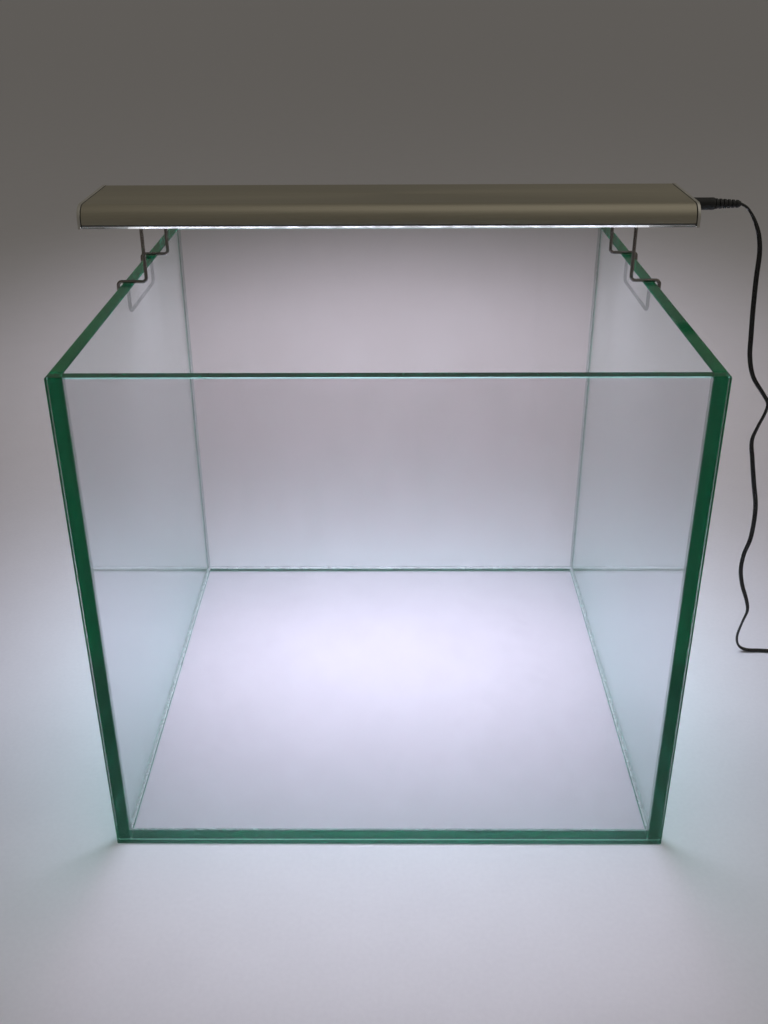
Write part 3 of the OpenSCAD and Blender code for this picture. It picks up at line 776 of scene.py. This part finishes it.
def make_seams(looks):
    """The silicone in the four upright corners and along the four bottom edges."""
    inner_x, inner_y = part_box("right_pane")[0].x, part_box("back_pane")[0].y
    end_y, base_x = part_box("right_pane")[1].y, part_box("bottom_pane")[1].x
    floor_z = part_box("bottom_pane")[1].z
    names = {-1: ("left", "front"), 1: ("right", "back")}
    for sx in (-1, 1):
        for sy in (-1, 1):
            node = f"{names[sy][1]}_{names[sx][0]}_seam"
            low, high = (box.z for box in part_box(node))
            outer = abs(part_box(node)[0 if sx < 0 else 1].x)
            bm = bmesh.new()
            corner = Vector((sx * inner_x, sy * inner_y, 0))
            cove(
                bm, corner + floor_z * UP, corner + high * UP,
                Vector((-sx, 0, 0)), Vector((0, -sy, 0)),
            )
            film(bm, *mirrored_box(inner_x, outer, end_y, inner_y, low, high, sx, sy))
            add_seam(bm, node, looks["corner_bead"], looks)
    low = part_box("front_base_seam")[0].z
    for s in (-1, 1):
        bm = bmesh.new()
        ends = [Vector((e * (inner_x - FILM_GAP), s * inner_y, floor_z)) for e in (-1, 1)]
        cove(bm, *ends, Vector((0, -s, 0)), UP)
        film(bm, *mirrored_box(-base_x, base_x, end_y, inner_y, low, floor_z, 1, s))
        add_seam(bm, names[s][1] + "_base_seam", looks["bead"], looks)
        bm = bmesh.new()
        ends = [Vector((s * inner_x, e * (inner_y - BEAD / 2), floor_z)) for e in (-1, 1)]
        cove(bm, *ends, Vector((-s, 0, 0)), UP)
        film(bm, *mirrored_box(base_x, inner_x, -end_y, end_y, low, floor_z, s, 1))
        add_seam(bm, names[s][0] + "_base_seam", looks["bead"], looks)


def add_seam(bm, node, bead, looks):
    """A seam's piece, with one look for its bead and another for the film in the joint."""
    name = "silicone_" + node.replace("_seam", "")
    make(name, bm, "tank", [bead, looks["film"]], (node,))


# ---- Light ----


def plate(name, outline, holes, x0, x1, bevel):
    """A flat plate across the X axis with soft edges and round holes, as a bmesh."""
    curve = bpy.data.curves.new(name, "CURVE")
    curve.dimensions = "2D"
    curve.fill_mode = "BOTH"
    curve.extrude = (x1 - x0) / 2 - bevel
    curve.bevel_depth = bevel
    curve.bevel_resolution = 2
    curve.offset = -bevel
    rounds = [[(y + u, z + v) for u, v in circle(r, 32)] for y, z, r in holes]
    for points in [outline] + rounds:
        spline = curve.splines.new("POLY")
        spline.points.add(len(points) - 1)
        for point, (y, z) in zip(spline.points, points):
            point.co = (y, z, 0, 1)
        spline.use_cyclic_u = True
    obj = bpy.data.objects.new(name, curve)
    bpy.context.scene.collection.objects.link(obj)
    bpy.context.view_layer.update()
    mesh = bpy.data.meshes.new_from_object(obj)
    bpy.data.objects.remove(obj)
    bm = bmesh.new()
    bm.from_mesh(mesh)
    turned = Matrix(((0, 0, 1, (x0 + x1) / 2), (1, 0, 0, 0), (0, 1, 0, 0), (0, 0, 0, 1)))
    bmesh.ops.transform(bm, matrix=turned, verts=bm.verts)
    return bm


def end_outline(lo, hi, r, steps=14):
    """A rectangle with its two upper corners rounded, across Y and Z."""
    points = [(lo.y, lo.z), (hi.y, lo.z)]
    for k, y in enumerate((hi.y - r, lo.y + r)):
        for i in range(steps + 1):
            a = math.pi / 2 * (k + i / steps)
            points.append((y + r * math.cos(a), hi.z - r + r * math.sin(a)))
    return points


def make_end_caps(looks):
    """The two end plates, with holes for their screws, and the right one for the jack."""
    screws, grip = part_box("right_cap_screws"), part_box("plug_grip")
    head_r, screw_hole_r, jack_hole_r = 2.75 * MM, 2.95 * MM, 4.15 * MM
    nose_r, bevel = 12.4 * MM, 0.35 * MM
    screw_z = (screws[0].z + screws[1].z) / 2
    screw_y = (screws[0].y + head_r, screws[1].y - head_r)
    jack_hole = ((grip[0].y + grip[1].y) / 2, (grip[0].z + grip[1].z) / 2, jack_hole_r)
    for side in ("left", "right"):
        lo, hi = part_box(side + "_end_cap")
        holes = [(y, screw_z, screw_hole_r) for y in screw_y]
        if side == "right":
            holes.append(jack_hole)
        bm = plate(side + "_cap", end_outline(lo, hi, nose_r), holes, lo.x, hi.x, bevel)
        make(
            side + "_end_plate", bm, "light", [looks["cap_metal"]],
            (side + "_end_cap",), 50,
        )


def make_leds(looks):
    """White LED packages, each with a round window of phosphor sunk in its face."""
    lo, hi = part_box("leds")
    columns, rows = 25, 2
    w, d = 3.5 * MM, 2.8 * MM
    window_r = 1.12 * MM
    body = round_rect(w, d, 0.25 * MM, 3)
    angles = [math.atan2(v, u) for u, v in body]
    rim = [(window_r * math.cos(a), window_r * math.sin(a)) for a in angles]
    # Outlines, each with its depth in millimetres below the board's face
    levels = [
        (body, 0.0), (body, 0.72), ([(0.95 * u, 0.94 * v) for u, v in body], 0.8),
        ([(1.12 * u, 1.12 * v) for u, v in rim], 0.8), (rim, 0.74),
        ([(0.86 * u, 0.86 * v) for u, v in rim], 0.5),
    ]
    bm = bmesh.new()
    for i in range(columns):
        x = lo.x + w / 2 + (hi.x - lo.x - w) * i / (columns - 1)
        for k in range(rows):
            y = lo.y + d / 2 + (hi.y - lo.y - d) * k / (rows - 1)
            rings = [
                [Vector((x + u, y + v, hi.z - depth * MM)) for u, v in ring]
                for ring, depth in levels
            ]
            skin(bm, rings)[-1].material_index = 1
    leds = make(
        "led_rows", bm, "light", [looks["led_body"], looks["led_window"]], ("leds",)
    )
    leds.visible_diffuse = False


def make_light(looks):
    """The light's own pieces, and the finishes of its parts that the CAD shapes."""
    make_end_caps(looks)
    make_leds(looks)
    dress(looks["anodised"], "light_housing")
    dress(looks["acrylic"], "clear_cover")
    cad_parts["clear_cover"].visible_diffuse = False
    dress(looks["gasket_rubber"], "left_gasket", "right_gasket")
    dress(looks["plated_metal"], "left_cap_screws", "right_cap_screws", "jack_pin")
    dress(looks["thermal_tape"], "thermal_pad")
    dress(looks["white_board"], "led_board")
    dress(looks["green_board"], "driver_board")
    dress(looks["electronic_parts"], "driver_parts")
    dress(looks["black_plastic"], "power_jack")
    dress(looks["red_lead"], "jack_leads", "board_leads")


# ---- Brackets ----


def make_bracket(side, looks):
    """One bent wire with chamfered tips: two tails in the housing, two uprights, and a loop
    outside the pane."""
    node = side + "_bracket"
    lo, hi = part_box(node)
    s = 1 if side == "right" else -1
    tail_x, loop_x = sorted((abs(lo.x), abs(hi.x)))
    loop_x -= WIRE_R
    upright_x = 204 * MM
    rim_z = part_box("right_pane")[1].z + WIRE_GAP + WIRE_R
    top_z, loop_z = hi.z - WIRE_R, lo.z + WIRE_R
    front, back = lo.y + WIRE_R, hi.y - WIRE_R
    leg = [(tail_x, top_z), (upright_x, top_z), (upright_x, rim_z), (loop_x, rim_z),
           (loop_x, loop_z)]
    corners = [Vector((s * x, front, z)) for x, z in leg]
    corners += [Vector((s * x, back, z)) for x, z in reversed(leg)]
    bends = [r * MM for r in (4.5, 3.5, 3.5, 5, 5, 3.5, 3.5, 4.5)]
    path = filleted(corners, bends, 10)
    tip, tip_girth = (path[1] - path[0]).normalized() * 0.5 * MM, 0.68
    path[1:1] = [path[0] + tip]
    path[-1:-1] = [path[-1] + tip]
    girth = [tip_girth] + [1] * (len(path) - 2) + [tip_girth]
    bm = bmesh.new()
    skin(bm, sweep(path, (0, 1, 0), circle(WIRE_R), girth=girth))
    make(node + "_wire", bm, side + "_bracket", [looks["steel_wire"]], (node,), 50)


# ---- Plug ----


def make_grip(looks):
    """The plug's moulded grip: a shouldered body, two rings and fine ribs for the fingers.
    Its stations are millimetres from the nose and shares of the full radius."""
    lo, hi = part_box("plug_grip")
    y, z = (lo.y + hi.y) / 2, (lo.z + hi.z) / 2
    r = (hi.y - lo.y) / 2
    long = hi.x - lo.x
    stations = [
        (0, 0.56), (0.02, 0.80), (0.9, 0.97), (1.6, 1.0), (4.0, 1.0), (4.3, 0.93), (5.6, 0.93),
        (5.9, 1.0), (8.2, 1.0), (9.4, 0.955), (19.4, 0.955), (20.6, 1.0),
        (long / MM - 1.6, 1.0), (long / MM - 0.5, 0.95), (long / MM, 0.84),
    ]
    count, ribs, rib_h, ribs_from, ribs_to = 72, 24, 0.16 * MM, 9, 20
    rings = []
    for x, share in stations:
        ribbed = ribs_from < x < ribs_to
        ring = []
        for k in range(count):
            a = 2 * math.pi * k / count
            rib = rib_h * math.cos(ribs * a) if ribbed else 0
            ring.append(Vector((
                lo.x + x * MM, y + (r * share + rib) * math.cos(a),
                z + (r * share + rib) * math.sin(a),
            )))
        rings.append(ring)
    bm = bmesh.new()
    skin(bm, rings)
    return make(
        "plug_moulding", bm, "plug", [looks["black_plastic"]], ("plug_grip",), 50
    )


def relief_rings(start, end, side, sag, r0, r1, ribs):
    """A tapered strain relief as rings: ribs with narrow gaps, along a line that may sag. Each
    rib's shape is in places along it and shares of the radius there."""
    shape = [(0.0, 0.93), (0.06, 1.0), (0.56, 1.0), (0.62, 0.96), (0.66, 0.76), (0.94, 0.76)]
    path, girth = [], []
    for i in range(ribs):
        for at, share in shape:
            k = (i + at) / ribs
            path.append(start.lerp(end, k) - sag * k * k * UP)
            girth.append((r0 + (r1 - r0) * k) * share)
    path.append(end - sag * UP)
    girth.append(r1 * 0.8)
    return sweep(path, side, circle(1, 32), girth=girth)


def add_rails(bm, start, end, side, r0, r1):
    """Two bars that join the ribs of a strain relief along its sides."""
    steps, rail_w = 6, 1.5 * MM
    n = (end - start).normalized().cross(side)
    for s in (-1, 1):
        rings = []
        for k in range(steps + 1):
            r = 0.9 * (r0 + (r1 - r0) * k / steps)
            rings.append([
                start.lerp(end, k / steps) + s * side * (r * 0.82 + u) + n * v
                for u, v in round_rect(0.28 * r, rail_w, 0.12 * r, 3)
            ])
        skin(bm, rings)


def make_boot(looks):
    """The ribbed strain relief."""
    lo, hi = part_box("plug_boot")
    y, z = (lo.y + hi.y) / 2, (lo.z + hi.z) / 2
    start, end = Vector((lo.x, y, z)), Vector((hi.x, y, z))
    side, sag, r0, r1, ribs = Vector((0, 1, 0)), 0.3 * MM, 4.5 * MM, 3.2 * MM, 6
    bm = bmesh.new()
    skin(bm, relief_rings(start, end, side, sag, r0, r1, ribs))
    add_rails(bm, start, end, side, r0, r1)
    boot = make(
        "plug_strain_relief", bm, "light", [looks["black_rubber"]],
        ("plug_boot",), 50,
    )
    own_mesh(boot)
    return boot


# ---- Adapter ----


def shell_rings(middle, size, r, levels):
    """Rounded outlines at heights and insets in millimetres, about a middle."""
    least_r = 0.8 * MM
    rings = []
    for z, inset in levels:
        outline = round_rect(
            size.x - 2 * inset * MM, size.y - 2 * inset * MM, max(r - inset * MM, least_r), 8
        )
        rings.append([Vector((middle.x + u, middle.y + v, z * MM)) for u, v in outline])
    return rings


def soft_edge(z, inward, r=2.4, steps=5):
    """Heights and insets of a rounded lower or upper edge that ends at height z."""
    found = []
    for k in range(steps + 1):
        a = math.pi / 2 * k / steps
        found.append((z + inward * r * (1 - math.sin(a)), r * (1 - math.cos(a))))
    return found


def make_adapter(looks):
    """The adapter's two shells, its boss and the sleeves on its pins."""
    lo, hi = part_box("adapter_cover")
    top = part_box("adapter_case")[1].z / MM
    split = hi.z / MM
    middle, size = (lo + hi) / 2, hi - lo
    corner_r, wall, half_gap, boss_h = 6 * MM, 2.2, 0.12, 1.5
    body_top = top - boss_h
    lower = list(reversed(soft_edge(0, 1))) + [(split - 0.5, 0), (split - half_gap, 0.3)]
    lower += [(split - half_gap, wall), (wall, wall + 0.6), (wall, wall + 4)]
    bm = bmesh.new()
    skin(bm, shell_rings(middle, size, corner_r, lower))
    front = make(
        "adapter_front_shell", bm, "tank", [looks["black_plastic"]],
        ("adapter_cover",), 40,
    )
    roof = body_top - wall
    upper = list(reversed(soft_edge(body_top, -1))) + [(split + 0.5, 0), (split + half_gap, 0.3)]
    upper += [(split + half_gap, wall), (roof, wall + 0.6), (roof, wall + 4)]
    bm = bmesh.new()
    skin(bm, shell_rings(middle, size, corner_r, upper))
    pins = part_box("adapter_pins")
    boss = Vector(((pins[0].x + pins[1].x) / 2, (pins[0].y + pins[1].y) / 2, 0))
    boss_size, boss_r = Vector((35 * MM, 14 * MM, 0)), 5.5 * MM
    levels = [(body_top - 0.3, 0), (top - 0.5, 0), (top - 0.15, 0.15), (top, 0.5)]
    skin(bm, shell_rings(boss, boss_size, boss_r, levels))
    back = make(
        "adapter_back_shell", bm, "tank", [looks["black_plastic"]],
        ("adapter_case",), 40,
    )
    pin_r, sleeve_wall, sleeve_h, lip = 2 * MM, 0.06 * MM, 9 * MM, 0.3 * MM
    sleeve = circle(pin_r + sleeve_wall, 28)
    bm = bmesh.new()
    for x in (pins[0].x + pin_r, pins[1].x - pin_r):
        heights = (0, lip, sleeve_h - lip, sleeve_h)
        path = [Vector((x, boss.y, top * MM + h)) for h in heights]
        skin(bm, sweep(path, (1, 0, 0), sleeve, girth=[1.25, 1, 1, 0.99]))
    sleeves = make("adapter_pin_sleeves", bm, "tank", [looks["pin_sleeve"]])
    return [front, back, sleeves]


def make_adapter_relief(looks):
    """The ribbed strain relief where the lead enters the adapter."""
    lo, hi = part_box("adapter_relief")
    x, z = (lo.x + hi.x) / 2, (lo.z + hi.z) / 2
    start, end = Vector((x, lo.y, z)), Vector((x, hi.y, z))
    side, r0, r1, ribs = Vector((1, 0, 0)), 3.9 * MM, 3.0 * MM, 5
    bm = bmesh.new()
    skin(bm, relief_rings(start, end, side, 0, r0, r1, ribs))
    add_rails(bm, start, end, side, r0, r1)
    return make(
        "adapter_strain_relief", bm, "tank", [looks["black_rubber"]],
        ("adapter_relief",), 50,
    )


# ---- Scene ----


def settings():
    """Enough bounces for light that travels along inside the panes."""
    scene = bpy.context.scene
    scene.view_settings.view_transform = "Standard"
    scene.cycles.max_bounces = 28
    scene.cycles.transmission_bounces = 28
    scene.cycles.glossy_bounces = 24
    scene.cycles.transparent_max_bounces = 40
    scene.cycles.sample_clamp_indirect = 10
    scene.cycles.use_denoising = True


make_camera()
looks = make_looks()
cord, cord_path = make_cord(looks)
tie = make_tie(looks)
adapter_pieces = make_adapter(looks)
relief_piece = make_adapter_relief(looks)
grip = make_grip(looks)
boot = make_boot(looks)
make_floor()
make_lights()
for pane in PANES:
    make_pane(pane, looks)
make_seams(looks)
make_light(looks)
for side in ("left", "right"):
    make_bracket(side, looks)
dress(looks["plated_metal"], "plug_barrel", "adapter_pins")
dress(looks["green_board"], "adapter_board")
settings()
